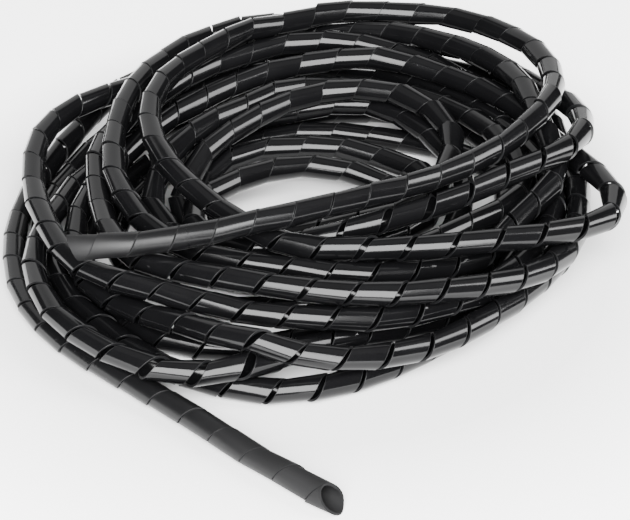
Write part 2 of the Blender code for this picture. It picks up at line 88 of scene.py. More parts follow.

# %% [markdown]
# ## The route
# A cord can be simulated, but then it never lies as the photographed one does. So the middle line
# is read from the photograph, from the upper free end to the free end in front. Stretches
# that other turns hide are only guessed, and are held more loosely in the next step.

# %% Route of the strand, as (pixel u, pixel v, height in twelfths of the diameter)
ROUTE = [
    (SEEN, [(72, 248, 50), (100, 246, 50), (130, 244, 51), (160, 241, 52), (190, 236, 52),
         (220, 230, 52), (250, 223, 52), (280, 217, 51), (310, 210, 50), (340, 203, 50), (370, 196, 50),
         (400, 188, 50), (430, 179, 50), (460, 167, 50), (485, 155, 50), (505, 143, 50), (522, 130, 49),
         (537, 116, 48), (548, 101, 46), (553, 86, 44), (550, 70, 42), (540, 55, 41), (522, 42, 40),
         (500, 31, 38), (470, 22, 37), (440, 16, 36), (405, 13, 36), (370, 13, 36), (335, 16, 37),
         (300, 21, 38), (268, 28, 40), (235, 38, 42), (211, 49, 44), (188, 61, 46), (171, 74, 47),
         (158, 90, 48), (151, 107, 48), (150, 124, 48), (156, 142, 47), (167, 160, 46), (181, 178, 44),
         (200, 195, 42), (222, 210, 39)]),
    (HIDDEN, [(245, 224, 38)]),
    (SEEN, [(265, 236, 38), (290, 245, 38), (320, 249, 38), (350, 249, 38), (380, 249, 38),
         (410, 248, 38), (440, 246, 38), (470, 243, 38), (500, 240, 38), (530, 236, 38), (560, 232, 38),
         (588, 226, 37), (604, 219, 36), (613, 209, 34), (613, 196, 33), (605, 183, 32), (592, 171, 31),
         (577, 159, 29), (556, 146, 27)]),
    (HIDDEN, [(532, 125, 26)]),
    (SEEN, [(510, 105, 26), (480, 89, 27), (440, 74, 28), (400, 62, 28), (360, 58, 28), (320, 62, 30),
         (277, 71, 32), (235, 85, 34), (200, 101, 36), (180, 112, 35)]),
    (HIDDEN, [(152, 131, 28), (128, 148, 22), (108, 165, 18), (94, 182, 17), (86, 200, 17),
         (81, 218, 17), (77, 238, 17)]),
    (SEEN, [(77, 256, 18), (84, 274, 18), (100, 291, 18), (126, 307, 18), (156, 314, 19),
         (195, 326, 21), (232, 340, 25), (260, 347, 27), (290, 353, 26), (322, 357, 23), (370, 357, 19),
         (415, 350, 18), (458, 334, 18), (475, 326, 17), (492, 315, 17), (508, 303, 16), (522, 291, 16),
         (534, 282, 16), (546, 273, 16)]),
    (HIDDEN, [(560, 256, 17), (571, 234, 17), (576, 210, 17), (573, 186, 17), (560, 162, 17),
         (538, 138, 17), (512, 114, 18), (482, 92, 20), (450, 72, 24), (415, 56, 29)]),
    (SEEN, [(380, 48, 32), (340, 42, 33), (300, 43, 34), (255, 50, 35), (217, 63, 35), (200, 72, 34)]),
    (HIDDEN, [(170, 86, 31), (143, 102, 28), (120, 124, 26)]),
    (SEEN, [(102, 150, 26), (98, 165, 26), (98, 182, 27), (101, 202, 28), (107, 224, 30)]),
    (HIDDEN, [(117, 241, 34)]),
    (SEEN, [(130, 252, 36), (155, 265, 38), (190, 272, 38), (220, 277, 38), (250, 281, 38),
         (300, 289, 38), (350, 294, 38), (400, 293, 38), (440, 291, 38), (480, 287, 38), (510, 280, 36),
         (538, 271, 34), (556, 260, 32), (566, 249, 30), (573, 238, 29)]),
    (HIDDEN, [(578, 222, 28)]),
    (SEEN, [(579, 205, 28), (576, 185, 27), (569, 167, 26)]),
    (HIDDEN, [(558, 146, 24), (542, 123, 21), (521, 101, 17), (494, 83, 13), (455, 70, 9), (412, 63, 7),
         (370, 59, 7), (330, 57, 8), (290, 58, 10), (250, 62, 13), (210, 70, 18), (170, 79, 24)]),
    (SEEN, [(125, 89, 30), (100, 98, 31), (78, 106, 31), (58, 118, 31), (44, 133, 31), (37, 148, 30),
         (34, 162, 30), (34, 176, 29), (35, 191, 28), (39, 206, 28), (46, 221, 28), (55, 238, 28),
         (66, 254, 28), (80, 265, 28), (95, 272, 28), (125, 284, 28), (165, 295, 28), (205, 302, 28),
         (250, 313, 28), (300, 317, 28), (350, 319, 28), (390, 318, 28), (425, 310, 28)]),
    (HIDDEN, [(470, 299, 27), (502, 283, 24), (526, 262, 20), (543, 240, 18), (553, 215, 17),
         (554, 190, 17), (547, 165, 16), (530, 142, 16), (505, 121, 17), (474, 102, 18), (438, 86, 18),
         (400, 74, 18), (360, 68, 18), (320, 66, 18), (280, 69, 18), (240, 76, 18), (200, 88, 17),
         (160, 104, 14), (124, 125, 10)]),
    (SEEN, [(100, 144, 7), (83, 160, 6), (67, 176, 6)]),
    (HIDDEN, [(52, 200, 6), (43, 222, 6), (42, 245, 6)]),
    (SEEN, [(52, 267, 6), (70, 295, 6), (97, 320, 6), (131, 347, 6), (165, 367, 6), (195, 378, 6),
         (225, 384, 6), (260, 388, 6), (300, 389, 6), (340, 384, 6), (370, 374, 6), (400, 362, 6),
         (430, 348, 6)]),
    (HIDDEN, [(460, 331, 6), (490, 311, 6), (517, 288, 6), (537, 264, 6), (549, 238, 6), (554, 210, 6),
         (551, 184, 6), (541, 160, 6), (524, 140, 6), (500, 121, 6), (470, 106, 6), (435, 95, 6),
         (390, 88, 6), (345, 86, 6), (300, 89, 6), (255, 97, 6), (212, 109, 6), (170, 126, 7),
         (130, 146, 9)]),
    (SEEN, [(92, 172, 12), (74, 188, 13), (60, 206, 13)]),
    (HIDDEN, [(46, 226, 14), (36, 246, 15), (33, 264, 15), (37, 282, 15), (47, 301, 15)]),
    (SEEN, [(60, 318, 15), (80, 333, 15), (100, 346, 15), (125, 359, 14), (154, 368, 14),
         (175, 372, 16), (198, 374, 17), (222, 373, 17), (246, 368, 15), (270, 361, 12),
         (295, 352, 9)]),
    (HIDDEN, [(320, 343, 7)]),
    (SEEN, [(345, 337, 8), (370, 334, 8), (400, 329, 8), (430, 321, 8), (457, 312, 8), (482, 300, 8)]),
    (HIDDEN, [(504, 281, 6), (519, 258, 6), (528, 232, 6), (530, 206, 6), (524, 180, 6), (510, 158, 6),
         (487, 139, 6), (455, 124, 6), (420, 115, 6), (375, 111, 6), (330, 113, 6), (285, 119, 6),
         (240, 130, 6), (195, 146, 6), (155, 164, 6), (120, 184, 6), (96, 206, 6), (85, 230, 6),
         (83, 254, 6), (88, 278, 6), (101, 302, 6), (126, 323, 6), (156, 339, 6), (195, 351, 6),
         (232, 355, 6), (273, 346, 6), (310, 335, 6), (345, 325, 6), (370, 321, 6), (400, 315, 6),
         (430, 306, 6), (457, 294, 6), (478, 278, 6), (493, 257, 6), (503, 232, 6), (506, 206, 6),
         (500, 181, 6), (486, 161, 6), (458, 153, 6), (425, 146, 6), (388, 140, 6), (340, 134, 6),
         (295, 131, 6), (250, 139, 6), (210, 152, 6), (172, 171, 6), (141, 193, 6), (121, 216, 6),
         (114, 240, 6), (122, 264, 6), (150, 287, 6), (190, 302, 6), (235, 310, 6), (280, 311, 6),
         (330, 301, 6), (385, 289, 7), (420, 268, 7), (440, 248, 8), (452, 227, 9), (463, 204, 10),
         (464, 183, 12), (455, 158, 15), (430, 132, 18), (400, 114, 18), (370, 103, 16), (330, 100, 15),
         (285, 107, 15), (240, 121, 15), (200, 139, 14), (170, 160, 12), (156, 185, 10), (150, 210, 8),
         (154, 234, 7), (170, 256, 7), (202, 273, 8), (240, 282, 10), (285, 284, 12), (330, 280, 15),
         (380, 268, 18), (420, 252, 20)]),
    (SEEN, [(450, 232, 20), (475, 222, 20), (500, 210, 20)]),
    (HIDDEN, [(519, 195, 19), (527, 175, 18), (521, 155, 17), (504, 138, 16), (478, 121, 15),
         (450, 107, 14), (420, 97, 13), (385, 90, 13), (345, 88, 13), (305, 93, 14), (272, 101, 17)]),
    (SEEN, [(240, 112, 21), (215, 122, 22), (195, 132, 22), (180, 145, 22), (172, 155, 22),
         (158, 180, 21)]),
    (HIDDEN, [(152, 205, 20), (162, 228, 20), (190, 246, 20), (225, 250, 22)]),
    (SEEN, [(260, 243, 26), (300, 235, 28), (350, 224, 28), (400, 212, 26), (430, 190, 24),
         (445, 168, 22), (451, 148, 20), (448, 130, 18), (433, 115, 17), (415, 103, 17), (390, 93, 18),
         (355, 90, 18), (315, 95, 18), (275, 108, 18), (245, 122, 18), (220, 138, 17), (205, 155, 16),
         (194, 180, 14)]),
    (HIDDEN, [(181, 205, 10), (188, 230, 9), (225, 246, 8), (300, 252, 8), (350, 248, 8), (395, 235, 8),
         (425, 215, 8), (438, 195, 8)]),
    (SEEN, [(430, 177, 9), (409, 170, 10), (389, 161, 10), (365, 153, 10), (335, 148, 10),
         (300, 148, 10), (265, 151, 10), (230, 160, 9)]),
    (HIDDEN, [(205, 178, 8), (195, 200, 6), (205, 225, 6), (235, 246, 6), (280, 256, 6), (330, 252, 6),
         (375, 236, 6), (400, 215, 6), (400, 196, 6)]),
    (SEEN, [(376, 181, 6), (340, 171, 6), (300, 166, 6)]),
    (HIDDEN, [(262, 173, 6), (228, 184, 7), (204, 198, 9), (194, 215, 13), (198, 233, 17),
         (216, 246, 22)]),
    (HIDDEN, [(250, 250, 27), (285, 247, 31)]),
    (SEEN, [(320, 238, 36), (350, 230, 38), (375, 223, 39), (400, 215, 40), (425, 210, 40),
         (445, 203, 40), (470, 192, 40), (490, 182, 40), (510, 174, 40), (530, 165, 42), (550, 157, 43),
         (565, 149, 42), (576, 140, 40), (583, 129, 38), (581, 118, 36), (573, 108, 34),
         (560, 98, 32)]),
    (HIDDEN, [(546, 93, 28), (530, 86, 25), (513, 73, 23), (493, 61, 22), (463, 50, 22), (430, 41, 22),
         (395, 35, 22), (355, 30, 24), (320, 26, 27), (290, 25, 29)]),
    (SEEN, [(265, 27, 31), (240, 30, 32), (215, 35, 33), (188, 46, 34), (162, 61, 36), (149, 73, 37),
         (133, 91, 38), (122, 111, 38), (115, 135, 38), (113, 155, 38), (118, 180, 38), (130, 205, 38),
         (150, 226, 38)]),
    (HIDDEN, [(175, 244, 37)]),
    (SEEN, [(210, 256, 36), (255, 264, 34), (300, 270, 32), (340, 271, 30), (400, 274, 28),
         (440, 268, 27), (480, 258, 26), (500, 240, 27), (515, 220, 28), (530, 208, 29), (545, 192, 30),
         (554, 178, 31), (557, 160, 32)]),
    (HIDDEN, [(553, 138, 33), (543, 118, 34)]),
    (SEEN, [(530, 100, 34), (520, 84, 34), (505, 69, 34), (485, 56, 33), (460, 48, 34), (430, 40, 34),
         (400, 35, 34), (365, 31, 34), (330, 29, 33)]),
    (HIDDEN, [(290, 36, 30), (255, 48, 26), (220, 57, 23)]),
    (SEEN, [(180, 67, 21), (140, 79, 20), (120, 90, 19), (97, 109, 18), (77, 131, 17), (63, 149, 16),
         (51, 167, 14)]),
    (HIDDEN, [(38, 185, 11)]),
    (SEEN, [(27, 203, 8), (20, 217, 7), (16, 234, 6), (15, 252, 6), (16, 268, 6), (20, 284, 6),
         (26, 298, 6), (41, 320, 6), (67, 343, 6), (84, 355, 6), (102, 364, 6), (126, 378, 6),
         (150, 391, 6), (174, 406, 6), (198, 420, 6), (222, 436, 6), (246, 451, 6), (270, 465, 6),
         (294, 478, 6), (318, 492, 6), (333, 500, 6)]),
]

print("route points:", sum(len(stretch) for _, stretch in ROUTE))

# %% [markdown]
# ## From pixels to a smooth line
# A pixel and a height give one point on the camera's line of sight. A smooth cubic through those
# points gives the middle line, cut into even samples for the settling pass. A curve object would
# give a smooth line too, but arrays are easier to push about in the next step.

# %% Points on the lines of sight
SAMPLE_STEP = OUTSIDE / 2
FINE_STEP = OUTSIDE / 12


def sight_point(u, v, level):
    """Point at a height on the sight line of a photograph pixel."""
    line = AHEAD + RIGHT * (u - CENTRE_U) / FOCUS_PX - UP * (v - CENTRE_V) / FOCUS_PX
    height = level * OUTSIDE / LEVELS_PER_STRAND
    return EYE + line * (height - EYE[2]) / line[2]


def even_samples(curve, step, extra):
    """Samples a step apart along a fine curve, with a value carried along it."""
    gaps = np.linalg.norm(np.diff(curve, axis=0), axis=1)
    length = np.concatenate([[0.0], np.cumsum(gaps)])
    count = int(round(length[-1] / step)) + 1
    places = np.linspace(0.0, length[-1], count)
    columns = [np.interp(places, length, curve[:, axis]) for axis in range(3)]
    return np.stack(columns, axis=1), np.interp(places, length, extra)


def cubic_through(knots, count_for):
    """Points of a smooth cubic through knots, their places and the knots' places along it."""
    reach = np.concatenate([[0.0], np.cumsum(np.linalg.norm(np.diff(knots, axis=0), axis=1))])
    slopes = np.gradient(knots, reach, axis=0)
    places = np.linspace(0.0, reach[-1], count_for(reach[-1]))
    left = np.clip(np.searchsorted(reach, places, side="right") - 1, 0, len(reach) - 2)
    width = (reach[left + 1] - reach[left])[:, None]
    t = (places - reach[left])[:, None] / width
    curve = (2 * t**3 - 3 * t**2 + 1) * knots[left] + (3 * t**2 - 2 * t**3) * knots[left + 1]
    curve += ((t**3 - 2 * t**2 + t) * slopes[left] + (t**3 - t**2) * slopes[left + 1]) * width
    return curve, places, reach


def traced_curve(step, marks):
    """Smooth curve through the route's points, with the mark of each stretch carried along it."""
    rows = [(sight_point(*spot), mark) for mark, (_, stretch) in zip(marks, ROUTE) for spot in stretch]
    knots = np.array([row[0] for row in rows])
    carried = np.array([row[1] for row in rows])
    curve, places, reach = cubic_through(knots, lambda whole: int(whole / FINE_STEP))
    return even_samples(curve, step, np.interp(places, reach, carried))


traced, seen = traced_curve(SAMPLE_STEP, [mark for mark, _ in ROUTE])
print("traced line:", len(traced), "samples,", round(SAMPLE_STEP / MM, 1), "mm apart")


# %% [markdown]
# ## Let the turns settle
# Heights can't be read exactly, so the turns would cut into each other. A short relaxation moves
# the samples: each is pulled to its line of sight, sinks a little, keeps its bends smooth, and is
# pushed away from any other turn that is closer than one diameter. The result is the same each
# time, because nothing in it is random. A physics simulation would take longer, and the turns would
# slide away from where the photograph shows them.

# %% Which samples touch
CONTACT = math.hypot(OUTSIDE + CLEARANCE, 0.35 * SAMPLE_STEP)  # the samples of two strands lie askew
WATCH_SHARE = 1.35  # pairs are watched from this many contact distances
SKIP_SHARE = 2.2  # neighbours along the strand don't count as another turn
BLOCK = 400  # samples compared at once


def near_pairs(points, reach):
    """Pairs of samples of different strands that are closer than a reach."""
    skip = int(np.ceil(SKIP_SHARE * reach / SAMPLE_STEP))
    found = []
    for start in range(0, len(points), BLOCK):
        away = points[start:start + BLOCK, None, :] - points[None, :, :]
        first, second = np.nonzero((away ** 2).sum(axis=2) < reach ** 2)
        first = first + start
        apart = second - first > skip
        found.append(np.stack([first[apart], second[apart]], axis=1))
    return np.concatenate(found)


# %% Smooth bends and even steps
EASE = 0.25  # share of a fault that one round takes away


def smooth_bends(points, reach):
    """Even out bends over a number of samples without shrinking the turns."""
    lean = np.zeros_like(points)
    lean[reach:-reach] = 0.5 * (points[:-2 * reach] + points[2 * reach:]) - points[reach:-reach]
    change = np.zeros_like(points)
    change[reach:-reach] = 0.5 * (lean[:-2 * reach] + lean[2 * reach:]) - lean[reach:-reach]
    return points - EASE * change


def space_evenly(points):
    """Slide the samples along the strand to an even spacing."""
    steps = np.diff(points, axis=0)
    lengths = np.linalg.norm(steps, axis=1)
    slide = (EASE * (lengths - lengths.mean()) / lengths)[:, None] * steps
    points[:-1] += slide
    points[1:] -= slide
    return points


# %% Push touching turns apart
PUSH_SHARE = 0.4  # share of an overlap that one push takes from each strand


def part_strands(points, pairs):
    """Push touching strands apart and keep them on the floor."""
    away = points[pairs[:, 1]] - points[pairs[:, 0]]
    gap = np.linalg.norm(away, axis=1)
    close = gap < CONTACT
    push = (PUSH_SHARE * (CONTACT / gap[close] - 1.0))[:, None] * away[close]
    move = np.zeros_like(points)
    touches = np.zeros(len(points))
    for side, sign in ((1, 1.0), (0, -1.0)):
        np.add.at(move, pairs[close, side], sign * push)
        np.add.at(touches, pairs[close, side], 1.0)
    points = points + move / np.maximum(touches / 2.0, 1.0)[:, None]
    points[:, 2] = np.maximum(points[:, 2], RADIUS)
    return points


# %% Settle the whole strand
ROUNDS = 200
EARLY_SHARE = 0.8  # in the later rounds nothing pulls down, and the hold is weaker
LATE_HOLD = 0.3
PAIR_ROUNDS = 8  # rounds between two searches for pairs
LOOSE_HOLD = 0.1  # pull to the line of sight, and what is added where the photograph shows the strand
SEEN_HOLD = 0.25
HEIGHT_HOLD = 0.02
SINK = OUTSIDE / 160
EARLY_REACHES = (5, 4, 3, 2, 1, 1)  # samples over which bends are smoothed
LATE_REACHES = (2, 1)
PARTINGS = 6


def settled_route(points, seen):
    """The traced strand after its turns have settled on each other, with no two overlapping."""
    sight = points - EYE
    sight /= np.linalg.norm(sight, axis=1)[:, None]
    heights = points[:, 2].copy()
    hold = (LOOSE_HOLD + SEEN_HOLD * seen)[:, None]
    for turn in range(ROUNDS):
        if turn % PAIR_ROUNDS == 0:
            pairs = near_pairs(points, WATCH_SHARE * CONTACT)
        early = turn < EARLY_SHARE * ROUNDS
        local = points - EYE
        aside = local - sight * (local * sight).sum(axis=1)[:, None]
        points = points - hold * aside * (1.0 if early else LATE_HOLD)
        if early:
            points[:, 2] += HEIGHT_HOLD * (heights - points[:, 2]) - SINK
        for reach in EARLY_REACHES if early else LATE_REACHES:
            points = smooth_bends(points, reach)
        points = space_evenly(points)
        for _ in range(PARTINGS):
            points = part_strands(points, pairs)
    return points


def middle(points):
    """Middle of the route's outline on the floor."""
    centre = 0.5 * (points.min(axis=0) + points.max(axis=0))
    return np.array([centre[0], centre[1], 0.0])


route = settled_route(traced, seen)
shift = middle(route)
route = route - shift
length = float(np.linalg.norm(np.diff(route, axis=0), axis=1).sum())
print("strand length:", round(length, 3), "m in", len(route), "samples")

# %% [markdown]
# ## Camera
# The camera stands where the photographer's did. The coil was moved so that its middle is at the
# origin, so the camera moves with it.

# %% Camera
camera_data = bpy.data.cameras.new("view")
camera_data.sensor_width = SENSOR
camera_data.lens = FOCUS_PX * SENSOR / FRAME_WIDTH
camera = bpy.data.objects.new("view", camera_data)
camera.location = Vector(EYE - shift)
camera.rotation_euler = (math.pi / 2 - VIEW_TILT, 0.0, 0.0)
bpy.context.collection.objects.link(camera)
bpy.context.scene.camera = camera
print("lens:", round(camera_data.lens, 1), "mm, camera at", [round(v, 3) for v in camera.location])

# %% [markdown]
# ## Sums on sockets
# Node trees are easier to read as sums. This small class holds a socket: adding, multiplying or
# comparing two of them adds the Math node for it. The tree class has one method that adds any
# other node from its type, its settings and the values of its sockets.

# %% A socket that can be used in sums
class Amount:
    """One output socket of a node tree."""

    def __init__(self, tree, node, socket):
        self.tree = tree
        self.node = node
        self.socket = socket

    def out(self, name):
        """Another output of the same node."""
        return Amount(self.tree, self.node, self.node.outputs[name])

    def math(self, operation, *others):
        """This value with others through one Math node."""
        values = dict(enumerate((self, *others)))
        return self.tree.node("ShaderNodeMath", {"operation": operation}, values)

    def __add__(self, other):
        return self.math("ADD", other)

    def __sub__(self, other):
        return self.math("SUBTRACT", other)

    def __mul__(self, other):
        return self.math("MULTIPLY", other)

    def __truediv__(self, other):
        return self.math("DIVIDE", other)

    def __rsub__(self, other):
        return self.tree.node("ShaderNodeMath", {"operation": "SUBTRACT"}, {0: other, 1: self})

    def __rtruediv__(self, other):
        return self.tree.node("ShaderNodeMath", {"operation": "DIVIDE"}, {0: other, 1: self})

    def __neg__(self):
        return self * -1.0

    __radd__ = __add__
    __rmul__ = __mul__


# %% A tree that adds nodes
class Tree:
    """A shader or geometry node tree."""

    def __init__(self, node_tree):
        self.nodes = node_tree.nodes
        self.links = node_tree.links

    def node(self, kind, settings=None, sockets=None):
        """Add a node: its settings first, then a value or a link for each named socket."""
        made = self.nodes.new(kind)
        for name, value in (settings or {}).items():
            setattr(made, name, value)
        for name, value in (sockets or {}).items():
            self.feed(made.inputs[name], value)
        return Amount(self, made, made.outputs[0] if made.outputs else None)

    def feed(self, socket, value):
        """Give a socket a link or a plain value."""
        if isinstance(value, Amount):
            self.links.new(value.socket, socket)
        else:
            socket.default_value = value

    def vector(self, operation, *values, out="Vector"):
        """A Vector Math node on vectors."""
        made = self.node("ShaderNodeVectorMath", {"operation": operation}, dict(enumerate(values)))
        return made.out(out)

    def scaled(self, vector, factor):
        """A vector times a number."""
        return self.node("ShaderNodeVectorMath", {"operation": "SCALE"}, {0: vector, "Scale": factor})


# %% [markdown]
# ## How far the slit is open
# The wrap was pulled a little in some places, so the slit isn't the same all along. The gaps were
# judged on the photograph, as the distance along the strand and the gap there.

# %% Slit along the strand, as (metres from the upper end, gap in millimetres)
SLIT_PLACES = [
    (0.0, 0.15), (0.08, 0.15), (0.12, 0.35), (0.4, 0.7), (0.7, 0.9), (0.76, 1.6), (0.84, 2.2), (0.9, 2.8),
    (0.98, 2.6), (1.05, 1.2), (1.3, 1.0), (1.4, 1.4), (1.5, 1.8), (1.62, 2.0), (1.72, 1.6), (2.0, 0.9),
    (2.2, 1.3), (2.27, 1.4), (2.35, 2.0), (2.5, 1.8), (2.6, 1.0), (2.94, 1.4), (3.12, 1.5), (3.2, 1.6),
    (3.3, 1.8), (3.8, 1.2), (3.9, 1.6), (4.0, 1.6), (4.12, 1.5), (4.6, 1.2), (4.8, 1.6), (4.84, 3.6),
    (4.9, 4.0), (4.94, 1.6), (5.02, 1.4), (5.2, 0.8), (7.0, 0.8), (7.3, 1.2), (7.6, 0.8), (8.2, 1.2),
    (8.28, 3.0), (8.33, 3.6), (8.37, 2.6), (8.42, 2.4), (8.48, 1.8), (8.6, 0.9), (8.75, 0.8), (8.9, 1.3),
    (9.0, 1.4), (9.1, 1.6), (9.2, 1.0), (9.4, 1.0), (9.55, 1.3), (9.7, 0.9), (9.8, 0.35), (9.94, 0.2),
]
slit_at = np.array([place for place, _ in SLIT_PLACES])
slit_gap = np.array([gap * MM for _, gap in SLIT_PLACES])
print("slit:", round(slit_gap.min() / MM, 2), "to", round(slit_gap.max() / MM, 2), "mm wide")

# %% [markdown]
# ## The middle line as a wire
# Geometry Nodes need the route as geometry. A mesh of single edges does, and its points can carry
# the slit's gap as an attribute. Points every 3 mm are close enough for a smooth bend.

# %% Wire of the middle line
WIRE_STEP = 3.0 * MM


def wire_object(name, points, gaps):
    """Mesh of single edges along the points, with the slit's gap on each point."""
    mesh = bpy.data.meshes.new(name)
    edges = [(number, number + 1) for number in range(len(points) - 1)]
    mesh.from_pydata(points.tolist(), edges, [])
    layer = mesh.attributes.new("slit_gap", "FLOAT", "POINT")
    layer.data.foreach_set("value", gaps)
    made = bpy.data.objects.new(name, mesh)
    bpy.context.collection.objects.link(made)
    return made


wire_points, wire_places, _ = cubic_through(route, lambda whole: int(round(whole / WIRE_STEP)) + 1)
wire = wire_object("spiral_wrap_strip", wire_points, np.interp(wire_places, slit_at, slit_gap))
print("wire points:", len(wire_points))

# %% [markdown]
# ## The strip, wound by Geometry Nodes
# A real wrap is a tube cut along a helix. A curve with a bevel gives the tube but not the slit, and
# a Screw modifier can't follow a bent line. So the tree bends a long cylinder primitive: each of
# its rings becomes one cross line of the strip, straight along the strand, and the next ring is
# turned a little further round the middle line. The pitch is the strip's width and the gap. In a
# bend it shrinks, so that the slits stay narrow outside and each turn tucks under the next one
# inside. No turn of a real wrap lies quite straight, so a slow noise sways and swells each one a
# little. That breaks up the highlights.

# %% Section of the strip: where each of its eight corners lies
SECTION_CORNERS = 8
# as parts of half the width, and as steps in from the outside: 0 none, 1 the edge's round, 2 the wall
CORNER_ACROSS = (-1.0, -1.0, 0.0, 1.0, 1.0, 1.0, 0.0, -1.0)
CORNER_INSET = (0.0, 1.0, 0.0, -1.0, 0.0, 0.0, 0.0, 0.0)
CORNER_DEPTH = (1.0, 0.0, 0.0, 0.0, 1.0, 2.0, 2.0, 2.0)
EDGE_SPREAD = 1.6  # the edge's round is wider than it is deep


def pick(number, values):
    """Sum of nodes that gives the value of a list at a whole number."""
    total = 0.0
    for place, value in enumerate(values):
        if value:
            total = number.math("COMPARE", float(place), 0.5) * value + total
    return total


# %% Named inputs of the tree
def strip_group():
    """New geometry node group with the inputs that a user of it would set."""
    group = bpy.data.node_groups.new("helical_strip", "GeometryNodeTree")
    face = group.interface
    face.new_socket("Middle line", in_out="INPUT", socket_type="NodeSocketGeometry")
    for name in ("Outside", "Wall", "Strip width", "Edge round", "Line step", "Ring step", "First angle",
                 "Last angle", "End flare", "Start slant", "End slant", "Sway", "Swell", "Tuck"):
        face.new_socket(name, in_out="INPUT", socket_type="NodeSocketFloat")
    face.new_socket("Finish", in_out="INPUT", socket_type="NodeSocketMaterial")
    face.new_socket("Strip", in_out="OUTPUT", socket_type="NodeSocketGeometry")
    return group


# %% The turning of the strip along the line
BEND_SPAN = 4  # wire points on either side that a bend is measured over
BEND_SHARE = 0.2  # how much of the pitch a bend takes, and how much more a tight one does
TIGHT_SHARE = 2.0


def line_fields(tree, group_in, line):
    """Angle that the strip has turned, its pitch and the line's bend, at each point of the line."""
    last = tree.node("GeometryNodeAttributeDomainSize", {"component": "CURVE"}, {0: line}) - 1.0
    index = tree.node("GeometryNodeInputIndex")
    tangent = tree.node("GeometryNodeInputTangent")
    sides = []
    for reach in (-BEND_SPAN, BEND_SPAN):
        place = (index + float(reach)).math("MAXIMUM", 0.0).math("MINIMUM", last)
        field = {"data_type": "FLOAT_VECTOR", "domain": "POINT"}
        sides.append(tree.node("GeometryNodeFieldAtIndex", field, {"Index": place, "Value": tangent}))
    radius_per_step = group_in.out("Outside") * 0.5 / (group_in.out("Line step") * (2.0 * BEND_SPAN))
    bend = tree.scaled(tree.vector("SUBTRACT", sides[1], sides[0]), radius_per_step)
    sharpness = tree.vector("LENGTH", bend, out="Value")
    gap = tree.node("GeometryNodeInputNamedAttribute", {"data_type": "FLOAT"}, {"Name": "slit_gap"})
    taken = sharpness * (sharpness * TIGHT_SHARE + BEND_SHARE)
    pitch = (group_in.out("Strip width") + gap) * (1.0 - taken)
    share = group_in.out("Line step") / pitch * math.tau
    on_points = {"data_type": "FLOAT", "domain": "POINT"}
    turned = tree.node("GeometryNodeAccumulateField", on_points, {"Value": share})

    # stretch it by a hair, so that the last turn ends at the angle asked for
    total = {"Geometry": line, "Attribute": turned}
    whole = tree.node("GeometryNodeAttributeStatistic", on_points, total).out("Max")
    rest = group_in.out("Last angle") - group_in.out("First angle")
    wanted = ((whole - rest) / math.tau).math("ROUND") * math.tau + rest
    return turned * (wanted / whole), pitch, bend


def sampled(tree, line, value, place, kind):
    """Node that reads a field of the line at a distance along it."""
    return tree.node("GeometryNodeSampleCurve", {"mode": "LENGTH", "data_type": kind},
                     {"Curves": line, "Value": value, "Length": place})


# %% One turn's lean, girth and overlap
NOISE_PER_TURN = 0.8
FULL_TUCK = 0.1  # overlap, as a share of the strip's width, from which the tuck is whole


def swaying(tree, given, angle, tangent):
    """Direction of a cross line, and how much its turn stands out."""
    turn = tree.node("ShaderNodeCombineXYZ", None, {"X": angle * (NOISE_PER_TURN / math.tau)})
    drift = tree.node("ShaderNodeTexNoise", None, {"Vector": turn, "Scale": 1.0, "Detail": 0.0})
    lean = tree.vector("SUBTRACT", drift.out("Color"), (0.5, 0.5, 0.5))
    leaning = tree.vector("ADD", tangent, tree.scaled(lean, given.out("Sway")))
    return tree.vector("NORMALIZE", leaning), (drift - 0.5) * given.out("Swell")


def tucking(given, inner, pitch, share_across):
    """How far the far edge of a turn goes under and the near edge over, where neighbours overlap."""
    overlap = given.out("Strip width") - pitch * (1.0 - inner)
    cover = overlap / (given.out("Strip width") * FULL_TUCK)
    return cover.math("MAXIMUM", 0.0).math("MINIMUM", 1.0) * share_across * given.out("Tuck")


# %% The tree
FLARE_DECAY = 80.0  # per metre from the end
FLOOR_LEVEL = (-1.0, -1.0, 0.0)  # lowest place of any point, with z on the floor


